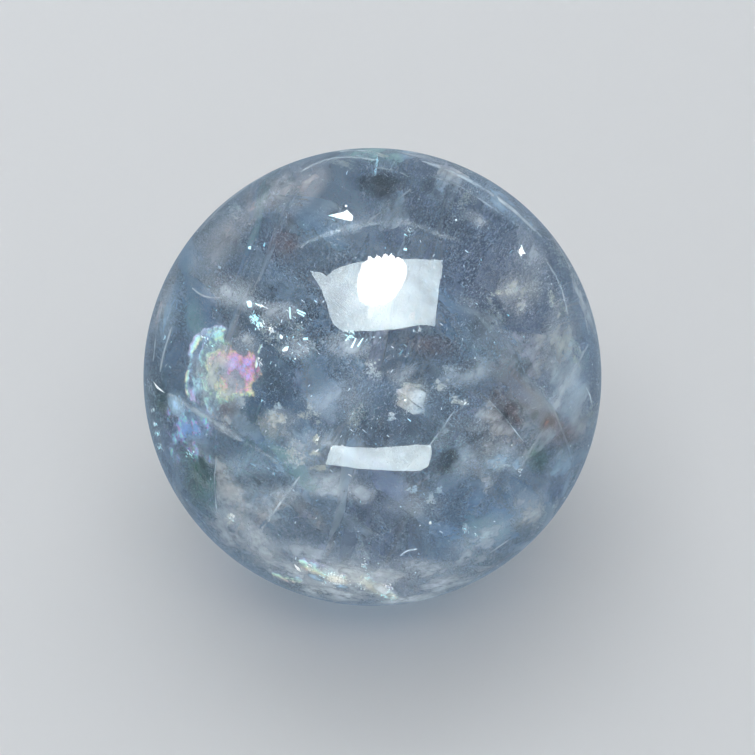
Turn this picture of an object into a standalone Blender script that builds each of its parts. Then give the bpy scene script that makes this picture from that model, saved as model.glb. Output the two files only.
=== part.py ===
"""A polished calcite sphere, 75 mm across, standing on a small flat ground at its foot.

Metres, +Z up. The origin is the middle of the flat, on the surface that the sphere stands on.
The stone is one piece, so the model is one solid, turned round +Z from half an outline.
"""

import math

import bmesh
import bpy

# Driving dimensions
SPHERE_DIAMETER = 0.075
FLAT_DIAMETER = 0.012

# Facets: steps down each half of the round side, and steps round the axis
STEPS_ABOVE_EQUATOR = 24
STEPS_BELOW_EQUATOR = 22
TURN_STEPS = 96

# Worked out from them
SPHERE_RADIUS = SPHERE_DIAMETER / 2
FLAT_RADIUS = FLAT_DIAMETER / 2
CENTRE_HEIGHT = math.sqrt(SPHERE_RADIUS**2 - FLAT_RADIUS**2)
FLAT_LATITUDE = -math.acos(FLAT_RADIUS / SPHERE_RADIUS)

# Points nearer than this are one point; a bend sharper than this is an edge
WELD_DISTANCE = 1e-6
SHARP_BEND = math.radians(7)

# Finish of the polished stone
CALCITE_COLOUR = (0.62, 0.69, 0.76, 1.0)
POLISH_ROUGHNESS = 0.03
CALCITE_IOR = 1.6


def clear_scene():
    """Removes what the startup scene holds."""
    for old in list(bpy.data.objects):
        bpy.data.objects.remove(old, do_unlink=True)


def calcite_material():
    """Clear polished calcite with a cool grey cast."""
    material = bpy.data.materials.new("polished_calcite")
    material.use_nodes = True
    surface = material.node_tree.nodes["Principled BSDF"]
    surface.inputs["Base Color"].default_value = CALCITE_COLOUR
    surface.inputs["Metallic"].default_value = 0.0
    surface.inputs["Roughness"].default_value = POLISH_ROUGHNESS
    surface.inputs["IOR"].default_value = CALCITE_IOR
    surface.inputs["Transmission Weight"].default_value = 1.0
    return material


def arc(start, end, steps):
    """Latitudes from start to end in equal steps, without the end itself."""
    return [start + (end - start) * step / steps for step in range(steps)]


def half_outline():
    """The outline in the XZ plane: down the round side from the top, then in along the flat."""
    latitudes = arc(math.pi / 2, 0.0, STEPS_ABOVE_EQUATOR)
    latitudes += arc(0.0, FLAT_LATITUDE, STEPS_BELOW_EQUATOR)
    points = []
    for latitude in latitudes:
        radius = SPHERE_RADIUS * math.cos(latitude)
        height = CENTRE_HEIGHT + SPHERE_RADIUS * math.sin(latitude)
        points.append((radius, 0.0, height))
    points.append((FLAT_RADIUS, 0.0, 0.0))
    points.append((0.0, 0.0, 0.0))
    return points


def turned_solid(points):
    """The outline spun a full turn round +Z and welded into one closed mesh."""
    mesh = bmesh.new()
    rim = [mesh.verts.new(point) for point in points]
    edges = [mesh.edges.new(pair) for pair in zip(rim, rim[1:])]
    bmesh.ops.spin(
        mesh,
        geom=rim + edges,
        cent=(0.0, 0.0, 0.0),
        axis=(0.0, 0.0, 1.0),
        angle=math.tau,
        steps=TURN_STEPS,
        use_merge=True,
    )
    bmesh.ops.remove_doubles(mesh, verts=mesh.verts, dist=WELD_DISTANCE)
    bmesh.ops.recalc_face_normals(mesh, faces=mesh.faces)
    return mesh


def calcite_sphere():
    """The whole stone: the polished round side and the flat that it stands on."""
    mesh = turned_solid(half_outline())
    data = bpy.data.meshes.new("calcite_sphere")
    mesh.to_mesh(data)
    mesh.free()
    data.materials.append(calcite_material())
    data.shade_smooth()
    data.set_sharp_from_angle(angle=SHARP_BEND)
    stone = bpy.data.objects.new("calcite_sphere", data)
    bpy.context.scene.collection.objects.link(stone)
    return stone


clear_scene()
calcite_sphere()
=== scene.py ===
"""A polished calcite ball with its cleavage planes, milky veils and rainbow fractures, on a pale floor."""

import itertools
import math
import random

import bpy
import numpy as np
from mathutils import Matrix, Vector, noise


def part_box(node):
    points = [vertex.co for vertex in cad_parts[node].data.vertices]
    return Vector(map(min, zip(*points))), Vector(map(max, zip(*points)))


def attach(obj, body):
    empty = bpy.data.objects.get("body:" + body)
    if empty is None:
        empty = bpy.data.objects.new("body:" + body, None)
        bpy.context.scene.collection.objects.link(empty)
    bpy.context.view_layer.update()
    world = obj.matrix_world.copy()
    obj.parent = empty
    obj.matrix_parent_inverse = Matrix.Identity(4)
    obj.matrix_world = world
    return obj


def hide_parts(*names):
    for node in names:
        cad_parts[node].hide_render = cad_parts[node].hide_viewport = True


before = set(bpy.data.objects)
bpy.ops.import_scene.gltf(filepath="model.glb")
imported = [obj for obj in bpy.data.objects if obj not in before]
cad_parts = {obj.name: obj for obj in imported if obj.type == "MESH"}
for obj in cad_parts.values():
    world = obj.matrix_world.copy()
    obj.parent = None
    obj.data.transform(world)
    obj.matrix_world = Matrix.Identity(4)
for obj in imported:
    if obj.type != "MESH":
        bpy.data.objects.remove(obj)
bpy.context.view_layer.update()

# The view. The photo looks down at the ball from in front, half way up, from close by.
# The ball's disc in the photo gives the distance, and its centre gives the frame's small shift.
PHOTO_SIDE_PX = 755
DISC_CENTRE_PX = (372.4, 377.0)
DISC_RADIUS_PX = 229.0
VIEW_ELEVATION = math.radians(45)
LENS_MM = 75.0
SENSOR_MM = 36.0

lowest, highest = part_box("calcite_sphere")
BALL_RADIUS = (highest.x - lowest.x) / 2
BALL_CENTRE = Vector((0.0, 0.0, highest.z - BALL_RADIUS))
FOCAL_PX = PHOTO_SIDE_PX * LENS_MM / SENSOR_MM
VIEW_DISTANCE = BALL_RADIUS / math.sin(math.atan(DISC_RADIUS_PX / FOCAL_PX))
TO_VIEWER = Vector((0.0, -math.cos(VIEW_ELEVATION), math.sin(VIEW_ELEVATION)))
VIEW_RIGHT = Vector((1.0, 0.0, 0.0))
VIEW_UP = TO_VIEWER.cross(VIEW_RIGHT)
VIEWPOINT = BALL_CENTRE + TO_VIEWER * VIEW_DISTANCE

camera_data = bpy.data.cameras.new("photo_camera")
camera_data.lens = LENS_MM
camera_data.sensor_width = SENSOR_MM
camera_data.clip_start = 0.01
camera_data.shift_x = (PHOTO_SIDE_PX / 2 - DISC_CENTRE_PX[0]) / PHOTO_SIDE_PX
camera_data.shift_y = (DISC_CENTRE_PX[1] - PHOTO_SIDE_PX / 2) / PHOTO_SIDE_PX
camera = bpy.data.objects.new("photo_camera", camera_data)
camera.location = VIEWPOINT
camera.rotation_euler = TO_VIEWER.to_track_quat("Z", "Y").to_euler()
bpy.context.scene.collection.objects.link(camera)
bpy.context.scene.camera = camera

# The polished stone. One clear grey-blue calcite crystal, cut to a ball and polished to a mirror,
# with a small flat ground at its foot. It darkens what is seen through its whole depth.
SIDE_STEPS = 130
TURN_STEPS = 260
SHARP_BEND = math.radians(5)
CALCITE_IOR = 1.6
LIGHT_KEPT_THROUGH_BALL = (0.185, 0.25, 0.33)
DEPTH_TINT_MARGIN = 1.25
POLISH_WAVE_LENGTH = 0.006
POLISH_WAVE_HEIGHT = 0.000012
flat_radius = math.sqrt(BALL_RADIUS**2 - BALL_CENTRE.z**2)
flat_latitude = -math.acos(flat_radius / BALL_RADIUS)


class Wire:
    """A socket of a material's nodes. Arithmetic on it adds Math nodes to the material."""

    def __init__(self, socket):
        self.socket = socket

    def node(self, kind, settings, inputs, output=0):
        """Adds a node, with its settings first and then the values or wires of its inputs."""
        tree = self.socket.id_data
        added = tree.nodes.new(kind)
        for name, value in settings.items():
            if name == "stops":
                stops = added.color_ramp.elements
                while len(stops) < len(value):
                    stops.new(0.5)
                for stop, (position, colour) in zip(stops, value):
                    stop.position = position
                    stop.color = (*colour, 1.0)
            else:
                setattr(added, name, value)
        for name, value in inputs.items():
            if isinstance(value, Wire):
                tree.links.new(value.socket, added.inputs[name])
            else:
                added.inputs[name].default_value = value
        return Wire(added.outputs[output])

    def into(self, socket):
        """Feeds this wire to a shader's socket."""
        self.socket.id_data.links.new(self.socket, socket)

    def math(self, operation, first, second=0.0):
        """The result of one step of arithmetic."""
        return self.node("ShaderNodeMath", {"operation": operation}, {0: first, 1: second})

    def __add__(self, other):
        return self.math("ADD", self, other)

    def __sub__(self, other):
        return self.math("SUBTRACT", self, other)

    def __rsub__(self, other):
        return self.math("SUBTRACT", other, self)

    def __mul__(self, other):
        return self.math("MULTIPLY", self, other)

    def __pow__(self, other):
        return self.math("POWER", self, other)

    __radd__ = __add__
    __rmul__ = __mul__

    def cosine(self):
        """The cosine of this wire's angle."""
        return self.math("COSINE", self)

    def rise(self, start, end):
        """A smooth rise from 0 at start to 1 at end."""
        settings = {"interpolation_type": "SMOOTHSTEP"}
        return self.node("ShaderNodeMapRange", settings, {"Value": self, "From Min": start, "From Max": end})

    def moved(self, shift, stretch=(1.0, 1.0, 1.0), turn=(0.0, 0.0, 0.0)):
        """This place as seen from axes that are shifted, turned and stretched."""
        inputs = {"Vector": self, "Location": shift, "Rotation": turn, "Scale": stretch}
        return self.node("ShaderNodeMapping", {"vector_type": "TEXTURE"}, inputs)

    def clouds(self, size, detail, roughness=0.55):
        """Cloudy noise whose largest lumps are about size across, at this place."""
        inputs = {"Vector": self, "Scale": 1 / size, "Detail": detail, "Roughness": roughness}
        return self.node("ShaderNodeTexNoise", {}, inputs)

    def kept(self, name, output="Fac"):
        """What the piece's mesh keeps under a name, at this place."""
        return self.node("ShaderNodeAttribute", {"attribute_name": name}, {}, output)

    def coloured(self, stops):
        """This wire's colour on a scale of colours, which lists where each one stands."""
        return self.node("ShaderNodeValToRGB", {"stops": stops}, {"Fac": self}, "Color")


def new_finish(name, plain):
    """A material, its shader's sockets and the wire of a point's place on the stone.

    plain lists what is the same all over.
    """
    material = bpy.data.materials.new(name)
    material.cycles.emission_sampling = "NONE"
    material.use_nodes = True
    tree = material.node_tree
    sockets = tree.nodes["Principled BSDF"].inputs
    for socket, value in plain.items():
        sockets[socket].default_value = value
    return material, sockets, Wire(tree.nodes.new("ShaderNodeTexCoord").outputs["Object"])


def add_piece(data, material):
    """Makes a mesh into a piece of the stone, which rides with it."""
    data.materials.append(material)
    data.shade_smooth()
    piece = bpy.data.objects.new(data.name, data)
    bpy.context.scene.collection.objects.link(piece)
    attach(piece, "root")
    return piece


def new_piece(name, points, faces, material):
    """A piece of the stone from its points and faces."""
    data = bpy.data.meshes.new(name)
    data.from_pydata([tuple(point) for point in points], [], faces)
    return add_piece(data, material)


def turned_ball():
    """Points and faces of the ball, turned round its upright axis from the top down to the flat."""
    fall = (math.pi / 2 - flat_latitude) / SIDE_STEPS
    latitudes = [math.pi / 2 - fall * step for step in range(1, SIDE_STEPS + 1)]
    points = [BALL_CENTRE + Vector((0.0, 0.0, BALL_RADIUS))]
    for latitude in latitudes:
        for step in range(TURN_STEPS):
            turn = math.tau * step / TURN_STEPS
            out = math.cos(latitude)
            way = Vector((out * math.cos(turn), out * math.sin(turn), math.sin(latitude)))
            points.append(BALL_CENTRE + BALL_RADIUS * way)
    faces = []
    for step in range(TURN_STEPS):
        after = (step + 1) % TURN_STEPS
        faces.append((0, 1 + step, 1 + after))
        for ring in range(SIDE_STEPS - 1):
            above = 1 + ring * TURN_STEPS
            below = above + TURN_STEPS
            faces.append((above + step, below + step, below + after, above + after))
    foot = len(points)
    points.append(Vector((0.0, 0.0, points[-1].z)))
    last = foot - TURN_STEPS
    for step in range(TURN_STEPS):
        faces.append((foot, last + (step + 1) % TURN_STEPS, last + step))
    return points, faces


clear_stone = {"Base Color": (0.96, 0.98, 1.0, 1.0), "Roughness": 0.0, "IOR": CALCITE_IOR}
polish, sockets, place = new_finish("polished_calcite", {**clear_stone, "Transmission Weight": 1.0})
waves = place.clouds(POLISH_WAVE_LENGTH, detail=3.0)
waves.node("ShaderNodeBump", {}, {"Height": waves, "Distance": POLISH_WAVE_HEIGHT}).into(sockets["Normal"])
# The tint is a little denser than the light that is kept calls for, so that no part of its colour is 0.
most_held_back = -DEPTH_TINT_MARGIN * math.log(min(LIGHT_KEPT_THROUGH_BALL))
kept = [1 + math.log(share) / most_held_back for share in LIGHT_KEPT_THROUGH_BALL]
tint_inputs = {"Color": (*kept, 1.0), "Density": most_held_back / (2 * BALL_RADIUS)}
depth_tint = waves.node("ShaderNodeVolumeAbsorption", {}, tint_inputs)
depth_tint.into(polish.node_tree.nodes["Material Output"].inputs["Volume"])

stone = new_piece("polished_stone", *turned_ball(), polish)
stone.data.set_sharp_from_angle(angle=SHARP_BEND)
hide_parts("calcite_sphere")

# The mist. Countless tiny cracks run along the crystal's three cleavage directions, so each is a small
# slanting four-sided flake. They gather in clouds, which give the stone its milky grey-blue look.
FLAKES_PER_DIRECTION = 98000
FLAKE_TRIES = 620000
FLAKE_SEED = 41
FLAKE_LONG = 0.00017
FLAKE_WIDE = 0.00007
FLAKE_SPREAD = 0.38
FLAKE_TILT = 0.12
LATTICE_SIDE = 61
MIST_LUMPS = ((0.018, 1.3), (0.008, 1.0), (0.0036, 0.8), (0.0016, 0.7), (0.0008, 0.5))
MIST_FILL = -1.80
RIM_MIST = 1.2
RIM_MIST_DEPTH = 0.0022
GRAIN_STRETCH = 2.4
LAYER_SPACING = 0.0075
LAYER_SHARE = 1.4
LAYER_SHARPNESS = 10
LAYER_BEND = 2.2
LAYER_BEND_LUMP = 0.03
LAYER_PATCH_LUMP = 0.014
LAYER_SHIFT = 7
TINT_LUMP = 0.010
TINT_SHIFT = 3
FINE_TINT_LUMP = 0.0025
FINE_TINT_SHIFT = 5
FINE_TINT_SHARE = 0.25
SKIN_DEPTH = 0.0006
C_AXIS_HEADING = math.radians(13.8)
C_AXIS_LEAN = math.radians(64.3)
CRYSTAL_TURN = math.radians(32.0)
CLEAVAGE_LEAN = math.radians(44.6)


def cleavage_normals():
    """The three directions across which calcite splits, set evenly round its main axis."""
    lean = math.sin(C_AXIS_LEAN)
    axis = Vector((lean * math.cos(C_AXIS_HEADING), lean * math.sin(C_AXIS_HEADING), math.cos(C_AXIS_LEAN)))
    across = axis.cross(Vector((0.0, 0.0, 1.0))).normalized()
    along = axis.cross(across)
    normals = []
    for number in range(3):
        turn = CRYSTAL_TURN + number * math.tau / 3
        out = across * math.cos(turn) + along * math.sin(turn)
        normals.append(axis * math.cos(CLEAVAGE_LEAN) + out * math.sin(CLEAVAGE_LEAN))
    return normals


CLEAVAGES = cleavage_normals()
# The edges in which the cleavage planes meet: every flat face inside the stone is bounded by them.
CRYSTAL_EDGES = [CLEAVAGES[(n + 1) % 3].cross(CLEAVAGES[(n + 2) % 3]).normalized() for n in range(3)]
# The grain: cracks and mist are drawn out along one of these edges.
GRAIN = CRYSTAL_EDGES[1]
GRAIN_TURN = GRAIN.to_track_quat("X", "Z").to_euler()


def lumps(places, size, lattice):
    """Smooth random lumps of about a size, from 0 to 1, at many places at once."""
    spot = places / size
    cell = np.floor(spot).astype(int)
    part = spot - cell
    part = part * part * (3 - 2 * part)
    total = np.zeros(len(places))
    for corner in itertools.product((0, 1), repeat=3):
        share = np.prod(np.where(corner, part, 1 - part), axis=1)
        x, y, z = ((cell + corner) % len(lattice)).T
        total += share * lattice[x, y, z]
    return total


def mist_density(places, lattice):
    """How thick the mist is at many places. It lies in streaky clouds, which are denser in layers along
    the cleavage directions and close under the polish."""
    density = np.full(len(places), MIST_FILL)
    grain = np.array(GRAIN)
    squeezed = places - np.outer(places @ grain, grain) * (1 - 1 / GRAIN_STRETCH)
    for number, (size, share) in enumerate(MIST_LUMPS):
        density += share * lumps(squeezed + number, size, lattice)
    for number, normal in enumerate(CLEAVAGES):
        bend = LAYER_BEND * lumps(places, LAYER_BEND_LUMP, lattice)
        height = places @ np.array(normal) / LAYER_SPACING + bend
        strength = lumps(places + LAYER_SHIFT + number, LAYER_PATCH_LUMP, lattice)
        density += LAYER_SHARE * strength * np.maximum(0.0, np.cos(math.tau * height)) ** LAYER_SHARPNESS
    depth = BALL_RADIUS - np.linalg.norm(places - np.array(BALL_CENTRE), axis=1)
    return density + RIM_MIST * np.exp(-depth / RIM_MIST_DEPTH)


def four_corners(middle, half_one, half_other):
    """The corners, in order, of a four-sided sheet with this middle and these half sides."""
    first_side = [middle - half_one - half_other, middle + half_one - half_other]
    return first_side + [middle + half_one + half_other, middle - half_one + half_other]


def slanting_flakes(direction, lattice, draw):
    """Corners of flakes that lie along one cleavage direction, more of them where the mist is thick."""
    long_way, wide_way = (np.array(CRYSTAL_EDGES[n]) for n in (1, 0, 2) if n != direction)
    out = draw.uniform(-1, 1, (FLAKE_TRIES, 3))
    middle = np.array(BALL_CENTRE) + out * BALL_RADIUS
    within = np.linalg.norm(out, axis=1) < 1 - SKIN_DEPTH / BALL_RADIUS
    middle = middle[within & (middle[:, 2] > SKIN_DEPTH)]
    wanted = draw.uniform(0, 1, len(middle)) < mist_density(middle, lattice)
    middle = middle[wanted][:FLAKES_PER_DIRECTION]
    sizes = np.exp(draw.normal(0, FLAKE_SPREAD, (2, len(middle), 1)))
    tilt = draw.normal(0, FLAKE_TILT, (len(middle), 3))
    half_long = (long_way + tilt) * FLAKE_LONG * sizes[0] / 2
    half_wide = (wide_way - tilt) * FLAKE_WIDE * sizes[1] / 2
    return np.stack(four_corners(middle, half_long, half_wide), axis=1).reshape(-1, 3)


flake_finish, sockets, place = new_finish("mist_flake", {"Roughness": 0.5, "IOR": 1.3, "Alpha": 0.42})
TINTS = [
    (0.22, (0.66, 0.94, 0.84)), (0.32, (0.58, 0.78, 1.0)), (0.44, (0.80, 0.90, 1.0)),
    (0.55, (0.94, 0.96, 0.97)), (0.64, (1.0, 0.88, 0.80)), (0.74, (0.90, 0.87, 1.0)),
]
place.kept("tint").coloured(TINTS).into(sockets["Base Color"])

draw = np.random.default_rng(FLAKE_SEED)
lattice = draw.uniform(0, 1, (LATTICE_SIDE, LATTICE_SIDE, LATTICE_SIDE))
for direction in range(3):
    points = slanting_flakes(direction, lattice, draw)
    data = bpy.data.meshes.new(f"mist_flakes_{direction + 1}")
    data.vertices.add(len(points))
    data.vertices.foreach_set("co", points.ravel())
    data.loops.add(len(points))
    data.loops.foreach_set("vertex_index", np.arange(len(points)))
    data.polygons.add(len(points) // 4)
    data.polygons.foreach_set("loop_start", np.arange(0, len(points), 4))
    data.update(calc_edges=True)
    broad_tints = lumps(points + TINT_SHIFT, TINT_LUMP, lattice)
    fine_tints = lumps(points + FINE_TINT_SHIFT, FINE_TINT_LUMP, lattice)
    tints = broad_tints * (1 - FINE_TINT_SHARE) + fine_tints * FINE_TINT_SHARE
    data.attributes.new("tint", "FLOAT", "POINT").data.foreach_set("value", tints)
    add_piece(data, flake_finish)

# The milky veils. Old cracks that have healed cross the crystal as thin curved films of tiny bubbles,
# denser in some places than in others.
VEIL_COUNT = 5
VEIL_SPOKES = 110
VEIL_RINGS = 44
VEIL_WAVE = 0.0016
VEIL_WAVES_PER_METRE = 60
VEIL_FILL = 0.10
VEIL_LUMP = 0.011
VEIL_PATCHES = 1.2
VEIL_NOISE_STEP = 3.1
VEIL_BEND = 0.35
VEIL_REACH = 0.85
VEIL_HOLE = 0.02
VEIL_SEED = 7
MILKY_STRETCH = (2.6, 1.0, 1.0)
MILKY_WISP = 0.0042
MILKY_WISP_SHARE = 2.6
SOLID_AT = 1.1


def ball_reach(point, way, inset):
    """How far the polished surface, less an inset, lies from a point inside, going that way."""
    radius = BALL_RADIUS - inset
    out = point - BALL_CENTRE
    half = way.dot(out)
    return -half + math.sqrt(max(half * half - out.length_squared + radius * radius, 0.0))


def held_inside(point):
    """The point, or the nearest one that lies safely inside the polished surface and above the flat."""
    out = point - BALL_CENTRE
    limit = BALL_RADIUS - SKIN_DEPTH
    if out.length > limit:
        out = out * (limit / out.length)
    out.z = max(out.z, SKIN_DEPTH - BALL_CENTRE.z)
    return BALL_CENTRE + out


def plane_axes(normal):
    """Two directions at right angles in the plane that faces along normal."""
    across = normal.cross(Vector((0.0, 0.0, 1.0)))
    if across.length < 0.1:
        across = normal.cross(Vector((1.0, 0.0, 0.0)))
    across.normalize()
    return across, normal.cross(across).normalized()


def scattered(chance, spread):
    """A random step, as likely to one side as to any other."""
    return Vector([chance.gauss(0, spread) for _ in range(3)])


class Films:
    """Thin films of one finish, gathered into one piece. Each is laid out on a grid, 0 to 1 each way."""

    def __init__(self):
        """Starts with no film."""
        self.points = []
        self.faces = []
        self.density = []
        self.spots = []

    def add(self, columns, rows, place_of, density_of, width=1.0, height=1.0):
        """Adds a film where its density is above 0. Its spots run to width and height."""
        grid = [(column / columns, row / rows) for row in range(rows + 1) for column in range(columns + 1)]
        points = [held_inside(place_of(u, v)) for u, v in grid]
        density = [density_of(u, v, point) for (u, v), point in zip(grid, points)]
        number_of = {}
        for row in range(rows):
            for column in range(columns):
                first = row * (columns + 1) + column
                corners = (first, first + 1, first + columns + 2, first + columns + 1)
                if max(density[corner] for corner in corners) > 0:
                    for corner in corners:
                        if corner not in number_of:
                            number_of[corner] = len(self.points)
                            self.points.append(points[corner])
                            self.density.append(density[corner])
                            self.spots += [grid[corner][0] * width, grid[corner][1] * height, 0.0]
                    self.faces.append(tuple(number_of[corner] for corner in corners))

    def finish(self, name, material):
        """Makes the piece, whose mesh keeps each point's density as its thickness, its spot and its tint."""
        piece = new_piece(name, self.points, self.faces, material)
        tints = lumps(np.array(self.points) + TINT_SHIFT, TINT_LUMP, lattice)
        piece.data.attributes.new("thickness", "FLOAT", "POINT").data.foreach_set("value", self.density)
        piece.data.attributes.new("spot", "FLOAT_VECTOR", "POINT").data.foreach_set("vector", self.spots)
        piece.data.attributes.new("tint", "FLOAT", "POINT").data.foreach_set("value", tints)
        return piece


def add_section(films, middle, normal, seed, fill):
    """Adds a waved veil that spans the whole ball across a normal."""
    across, along = plane_axes(normal)
    shift = Vector((seed * VEIL_NOISE_STEP, 0.0, 0.0))

    def place_of(round_share, out_share):
        """The veil's place a share of the way round and a share of the way out to the polish."""
        turn = math.tau * round_share
        way = across * math.cos(turn) + along * math.sin(turn)
        reach = ball_reach(middle, way, SKIN_DEPTH)
        point = middle + way * reach * (VEIL_HOLE + (1 - VEIL_HOLE) * out_share)
        waves = noise.fractal(point * VEIL_WAVES_PER_METRE + shift, 0.9, 2.0, 2)
        return point + normal * VEIL_WAVE * waves

    def density_of(round_share, out_share, point):
        """Denser in some lumps than in others."""
        return fill + VEIL_PATCHES * noise.fractal(point / VEIL_LUMP + shift, 0.9, 2.0, 3)

    films.add(VEIL_SPOKES, VEIL_RINGS, place_of, density_of)


def milky_finish(name, solidity, gaps):
    """Pale and wispy, more solid where the film is thick. gaps sets how much of it is left clear."""
    material, sockets, place = new_finish(name, {"Roughness": 0.6, "IOR": 1.3})
    grain = place.moved((0.0, 0.0, 0.0), MILKY_STRETCH, GRAIN_TURN)
    wisps = MILKY_WISP_SHARE * grain.clouds(MILKY_WISP, detail=4.0, roughness=0.68)
    (solidity * (place.kept("thickness") + wisps - gaps).rise(0.0, SOLID_AT)).into(sockets["Alpha"])
    place.kept("tint").coloured(TINTS).into(sockets["Base Color"])
    return material


chance = random.Random(VEIL_SEED)
veils = Films()
for number in range(VEIL_COUNT):
    normal = (CLEAVAGES[number % 3] + scattered(chance, VEIL_BEND)).normalized()
    middle = BALL_CENTRE + normal * chance.uniform(-VEIL_REACH, VEIL_REACH) * BALL_RADIUS
    add_section(veils, middle, normal, number, VEIL_FILL)
veils.finish("milky_veils", milky_finish("milky_veil", solidity=0.42, gaps=1.05))

# The flat cracks. Where the crystal has split along its cleavage, a flat film of air and bubbles shows
# with straight edges, bright at one side and fading out across.
CRACK_STEPS = 26
CRACK_COUNT = 26
CRACK_SEED = 19
CRACK_SIDE = (0.006, 0.020)
CRACK_PATCHES = 0.22
CRACK_LUMPS_PER_METRE = 160
CRACK_NOISE_STEP = 2.7
CRACK_FADE = 8
FIRST_SIDE_FADE = 4
HIDDEN_CRACK_SPREAD = 0.7
HIDDEN_CRACK_LIMIT = 0.97
HIDDEN_CRACK_DENSITIES = ((0.15, 0.5), (-0.2, 0.1))
HIDDEN_CRACK_NOISE = 20
SEEN_CRACKS = [
    # Four corners in pixels, depth in mm, density at the first side and at the far side.
    (((490, 400), (524, 442), (470, 512), (434, 450)), 9.0, 0.28, -0.05),
    (((454, 412), (431, 446), (520, 500), (540, 460)), 14.0, 0.12, -0.05),
    (((590, 342), (584, 402), (522, 470), (516, 452)), 6.0, 0.30, 0.22),
    (((215, 456), (223, 534), (300, 500), (280, 450)), 7.0, 0.42, -0.10),
    (((396, 391), (411, 383), (428, 392), (426, 413)), 8.0, 0.75, 0.60),
    (((396, 391), (426, 413), (414, 415), (394, 405)), 8.1, 0.60, 0.50),
    (((228, 545), (262, 490), (306, 474), (296, 500)), 6.0, 0.34, 0.0),
    (((330, 225), (402, 190), (412, 226), (300, 246)), 10.0, 0.05, 0.0),
    (((500, 330), (588, 342), (584, 440), (520, 440)), 12.0, 0.28, 0.24),
]


def sight_at(pixel):
    """The sight line through a pixel of the photo: its way, where it meets the polish, and the normal."""
    across = VIEW_RIGHT * (pixel[0] - DISC_CENTRE_PX[0]) - VIEW_UP * (pixel[1] - DISC_CENTRE_PX[1])
    way = (across / FOCAL_PX - TO_VIEWER).normalized()
    from_centre = VIEWPOINT - BALL_CENTRE
    half = way.dot(from_centre)
    room = max(half * half - from_centre.length_squared + BALL_RADIUS**2, 0.0)
    normal = (from_centre + way * (-half - math.sqrt(room))).normalized()
    return way, BALL_CENTRE + normal * BALL_RADIUS, normal


def behind(pixel, depth):
    """The point that the photo shows at a pixel, where it lies that deep along the bent line of sight."""
    way, start, normal = sight_at(pixel)
    facing = -way.dot(normal)
    bend = facing / CALCITE_IOR - math.sqrt(1 - (1 - facing**2) / CALCITE_IOR**2)
    return start + (way / CALCITE_IOR + normal * bend) * depth


def between(corners, u, v):
    """The place at shares u and v of a four-cornered patch, whose corners are given in order round it."""
    near = corners[0].lerp(corners[1], u)
    far = corners[3].lerp(corners[2], u)
    return near.lerp(far, v)


def add_crack(films, corners, near_density, far_density, seed):
    """Adds a flat crack between four points, whose density goes from one at its first side to another."""
    shift = Vector((seed * CRACK_NOISE_STEP, 0.0, 0.0))

    def density_of(u, v, point):
        """Patchy, and thinning out at every side but the first."""
        patches = CRACK_PATCHES * noise.fractal(point * CRACK_LUMPS_PER_METRE + shift, 0.8, 2.0, 3)
        edge = min(1.0, CRACK_FADE * (1 - v), CRACK_FADE * u, CRACK_FADE * (1 - u))
        plain = near_density + (far_density - near_density) * v
        return (plain + patches) * max(edge, 1 - FIRST_SIDE_FADE * v)

    films.add(CRACK_STEPS, CRACK_STEPS, lambda u, v: between(corners, u, v), density_of)


chance = random.Random(CRACK_SEED)
cracks = Films()
for number, (pixels, depth, near_density, far_density) in enumerate(SEEN_CRACKS):
    corners = [behind(pixel, depth / 1000) for pixel in pixels]
    add_crack(cracks, corners, near_density, far_density, number)
while len(cracks.faces) < CRACK_COUNT * CRACK_STEPS**2:
    direction = chance.randrange(3)
    one, other = (CRYSTAL_EDGES[n] for n in range(3) if n != direction)
    spread = [chance.uniform(-HIDDEN_CRACK_SPREAD, HIDDEN_CRACK_SPREAD) for _ in range(3)]
    middle = BALL_CENTRE + Vector(spread) * BALL_RADIUS
    half_one = one * chance.uniform(*CRACK_SIDE) / 2
    half_other = other * chance.uniform(*CRACK_SIDE) * chance.choice((-1, 1)) / 2
    corners = four_corners(middle, half_one, half_other)
    if max((corner - BALL_CENTRE).length for corner in corners) < BALL_RADIUS * HIDDEN_CRACK_LIMIT:
        densities = [chance.uniform(*limits) for limits in HIDDEN_CRACK_DENSITIES]
        add_crack(cracks, corners, *densities, HIDDEN_CRACK_NOISE + chance.random())
cracks.finish("flat_cracks", milky_finish("flat_crack", solidity=0.7, gaps=1.1))

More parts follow.
